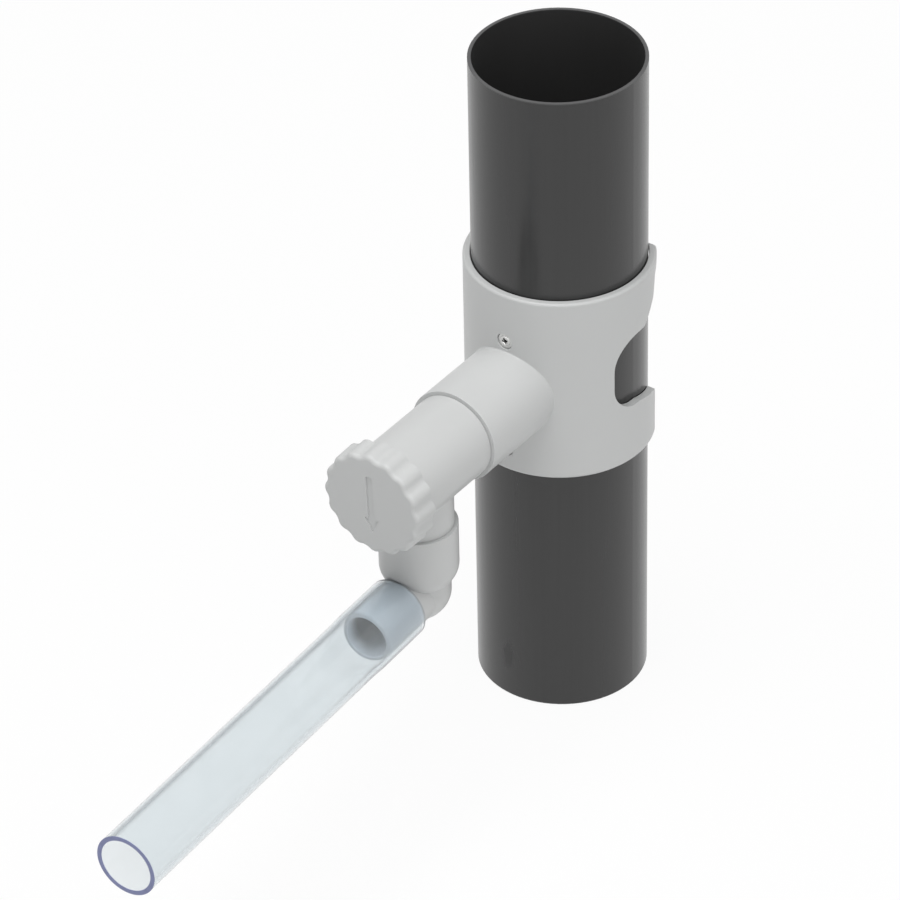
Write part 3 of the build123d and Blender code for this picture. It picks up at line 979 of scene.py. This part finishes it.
@dataclass
class FixingScrews:
    """Two flanged pan head screws with cross recesses and cut threads, in millimetres."""

    finish: SteelFinish = SteelFinish("screw_steel")
    names: tuple[str, str] = ("upper_screw", "lower_screw")
    heights: Band = SCREW_HEIGHTS
    seat_from_axis: float = SCREW_SEAT
    head_radius: float = 2.5
    head_height: float = 1.8
    head_edge: float = 0.7
    flange_radius: float = 3.65
    flange_height: float = 1.2
    lip_width: float = 0.3
    lip_drop: float = 0.25
    pit_radius: float = 1.1
    pit_depth: float = 2.8
    slots: int = 4
    slot_half_length: float = 1.5
    slot_half_width: float = 0.38
    slot_depth: float = 1.2
    wall_lean: float = 0.16
    turn: float = math.radians(20.0)
    crest_radius: float = 1.74
    root_radius: float = 1.35
    ridge_slope: float = 3.2
    pitch: float = 1.3
    length: float = 10.9
    run_in: float = 1.0
    point: float = 2.5
    point_share: float = 0.02
    ring_step: float = 0.06
    thread_step: float = 0.12
    steps: int = 96

    def inside(self, room: float) -> float:
        """How far a wall that leans a little has dropped at a distance inside the recess's edge."""
        return share(room / self.wall_lean + 0.5)

    def sunk(self, across: float, angle: float) -> float:
        """Depth of the cross recess below the head's top.

        Args:
            across: Distance from the screw's axis.
            angle: Angle round it.

        Returns:
            The depth.
        """
        deepest = self.pit_depth * self.inside(self.pit_radius - across)
        for slot in range(self.slots):
            lean = angle - self.turn - math.tau * slot / self.slots
            along, beside = across * math.cos(lean), abs(across * math.sin(lean))
            if along >= 0.0:
                room = min(self.slot_half_width - beside, self.slot_half_length - along)
                deepest = max(deepest, self.slot_depth * self.inside(room))
        return deepest

    def crown(self, across: float) -> float:
        """Height of the head's top, rounded at its edge and at the flange's lip.

        Args:
            across: Distance from the screw's axis.

        Returns:
            The height.
        """
        flat = self.head_radius - self.head_edge
        fall = self.head_height - self.flange_height
        part = share((across - flat) / self.head_edge)
        lip = share((across - self.flange_radius + self.lip_width) / self.lip_width)
        return self.head_height - fall * (1.0 - math.sqrt(1.0 - part * part)) - self.lip_drop * lip * lip

    def thread(self, depth: float, angle: float) -> float:
        """Radius of the threaded shank.

        Args:
            depth: Distance below the head's seat.
            angle: Angle round the screw.

        Returns:
            The radius, which falls to almost nothing at the point.
        """
        phase = (depth / self.pitch - angle / math.tau) % 1.0
        ridge = max(0.0, 1.0 - abs(phase - 0.5) * self.ridge_slope)
        started = min(1.0, depth / self.run_in)
        radius = self.root_radius + (self.crest_radius - self.root_radius) * ridge * started
        return radius * min(1.0, max(self.point_share, (self.length - depth) / self.point))

    def screw(self, skin: Skin) -> None:
        """Build one screw, with its seat at height 0.

        Args:
            skin: Empty mesh to build it in.
        """
        rings = []
        for number in range(1, int(self.flange_radius / self.ring_step) + 1):
            across = self.ring_step * number
            rings.append(skin.ring(lambda angle, r=across: (r, self.crown(r) - self.sunk(r, angle))))
        skin.cap(rings[0], self.head_height - self.pit_depth)
        for radius in (self.flange_radius, self.root_radius):
            rings.append(skin.ring(lambda _, r=radius: (r, 0.0)))
        for depth in spread(0.0, self.length, int(self.length / self.thread_step)):
            rings.append(skin.ring(lambda angle, d=depth: (self.thread(d, angle), -d)))
        for first, second in zip(rings, rings[1:]):
            skin.bridge(first, second)
        skin.cap(rings[-1], -self.length)

    def build(self) -> list[str]:
        """Build both screws in their seats.

        Returns:
            Their names.
        """
        steel = self.finish.material()
        pieces = []
        for name, height in zip(self.names, self.heights):
            seat = laid((0.0, -self.seat_from_axis, height), (0.0, -1.0, 0.0))
            skin = Skin(name, seat, self.steps)
            self.screw(skin)
            pieces.append(skin.piece("pipe_and_clip", "screw_steel", steel))
        for piece in pieces:
            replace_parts(piece, "fixing_screws")
        return list(self.names)


@dataclass
class ClearHose:
    """Cut length of clear hose that stretches over the elbow's spigot, in millimetres."""

    outside: ClearFinish = ClearFinish("clear_hose")
    bore: ClearFinish = ClearFinish("hose_bore", tint=CLEAREST, dark_reflection_tint=CLEAREST, sheen_tint=CLEAREST,
                                    clearness=1.0)
    free_cut: CutFinish = CutFinish("hose_cut")
    elbow_cut: CutFinish = CutFinish("hose_root", (0.40, 0.43, 0.50))
    start: float = OUTLET.hose_start
    stretched_middle: float = 30.0
    stretched_end: float = 44.2
    neck: float = 9.0
    end: float = 212.5
    stretched_inner: float = 12.15
    free_outer: float = 13.95
    wall: float = 2.1
    cut_round: float = 0.25
    cut_runs: Triple = (0.0, 0.15, 0.5)
    quarter_steps: int = 4
    neck_steps: int = 14
    free_steps: int = 12
    steps: int = 320

    def radius(self, along: float) -> float:
        """Inner radius, which eases from the stretched length to the free one.

        Args:
            along: Distance from the stub's axis.

        Returns:
            The radius.
        """
        part = share((along - self.stretched_end) / self.neck)
        eased = part * part * (3.0 - 2.0 * part)
        free_inner = self.free_outer - self.wall
        return self.stretched_inner + (free_inner - self.stretched_inner) * eased

    def distances(self) -> list[float]:
        """Distances along the hose at which its wall has points.

        Returns:
            The distances from the stub's axis, close together at the cuts and in the neck.
        """
        neck_end = self.stretched_end + self.neck
        at_root = [self.start + self.cut_round + run for run in self.cut_runs]
        at_end = [self.end - self.cut_round - run for run in reversed(self.cut_runs)]
        stretched = [self.stretched_middle, self.stretched_end]
        neck = spread(self.stretched_end, neck_end, self.neck_steps)
        free = spread(neck_end, at_end[0], self.free_steps)
        return at_root + stretched + neck + free + at_end[1:]

    def corner(self, radius: float, along: float, quarter: int, skip: int,
               face: HoseFace) -> list[tuple[float, float, int]]:
        """Rounded corner of a cut, as a quarter of a circle without one of its ends.

        Args:
            radius: Radius at its centre.
            along: Distance at its centre.
            quarter: Which quarter of the circle it is, from 0.
            skip: 1 to leave its first point out, 0 to leave out its last.
            face: Face that it belongs to.

        Returns:
            Radius, distance and material slot, point by point.
        """
        first = quarter * self.quarter_steps + skip
        turns = [math.pi / 2 * n / self.quarter_steps for n in range(first, first + self.quarter_steps)]
        return [(radius + self.cut_round * math.cos(turn), along + self.cut_round * math.sin(turn), face)
                for turn in turns]

    def profile(self) -> list[tuple[float, float, int]]:
        """Closed outline of the hose's wall.

        Returns:
            Radius, distance and material slot, point by point.
        """
        places = self.distances()
        free, root = self.end - self.cut_round, self.start + self.cut_round
        inner, outer = self.cut_round, self.wall - self.cut_round
        points = [(self.radius(place) + self.wall, place, HoseFace.OUTSIDE) for place in places]
        points += self.corner(self.radius(self.end) + outer, free, 0, 1, HoseFace.FREE_CUT)
        points += self.corner(self.radius(self.end) + inner, free, 1, 0, HoseFace.FREE_CUT)
        points += [(self.radius(place), place, HoseFace.BORE) for place in reversed(places)]
        points += self.corner(self.radius(self.start) + inner, root, 2, 1, HoseFace.ELBOW_CUT)
        points += self.corner(self.radius(self.start) + outer, root, 3, 0, HoseFace.ELBOW_CUT)
        return points

    def build(self) -> list[str]:
        """Build the hose on the spigot.

        Returns:
            Its name.
        """
        finishes = (self.outside, self.bore, self.free_cut, self.elbow_cut)
        materials = [finish.material() for finish in finishes]
        skin = Skin("hose_tube", laid(OUTLET.origin, OUTLET.along), self.steps)
        skin.lathe(self.profile())
        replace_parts(skin.piece("outlet", "clear_plastic", *materials), "clear_hose")
        return [skin.name]


def main() -> None:
    """Place the camera and the light, then build each sub-assembly and report its pieces."""
    View().place()
    Studio().build()
    for assembly in (Downpipe(), GreyMouldings(), Seals(), FixingScrews(), ClearHose()):
        for piece in assembly.build():
            log.info("%s: %s done", type(assembly).__name__, piece)


if __name__ == "__main__":
    main()
